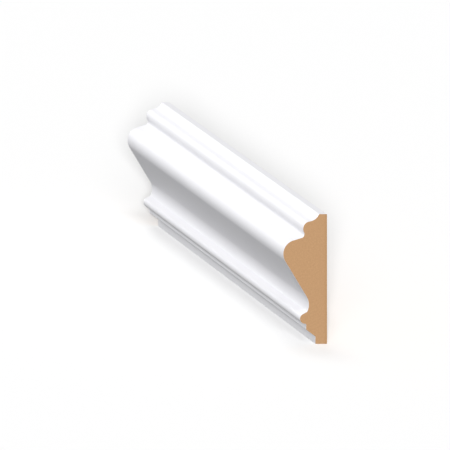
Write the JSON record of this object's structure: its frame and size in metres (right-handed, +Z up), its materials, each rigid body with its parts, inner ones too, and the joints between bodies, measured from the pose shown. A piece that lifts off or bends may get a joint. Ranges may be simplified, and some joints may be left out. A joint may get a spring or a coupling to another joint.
{
  "type": "panel moulding",
  "caption": "Straight length of white-primed fibreboard panel moulding: flat back, beaded top, full ogee face, small low bead and square foot, cut square at both ends.",
  "frame": {"origin": "middle of the flat back, halfway along the length and halfway up", "axes": "+X along the length, +Y out of the flat back towards what carries it, +Z up in use, with the square foot at the bottom"},
  "size_m": [0.168, 0.0192, 0.057],
  "materials": {
    "primed_fibreboard": "white primer, matt to eggshell, on fibreboard; cut ends and back are bare tan board"
  },
  "bodies": {
    "root": {"panel_moulding": "primed_fibreboard"}
  },
  "joints": []
}
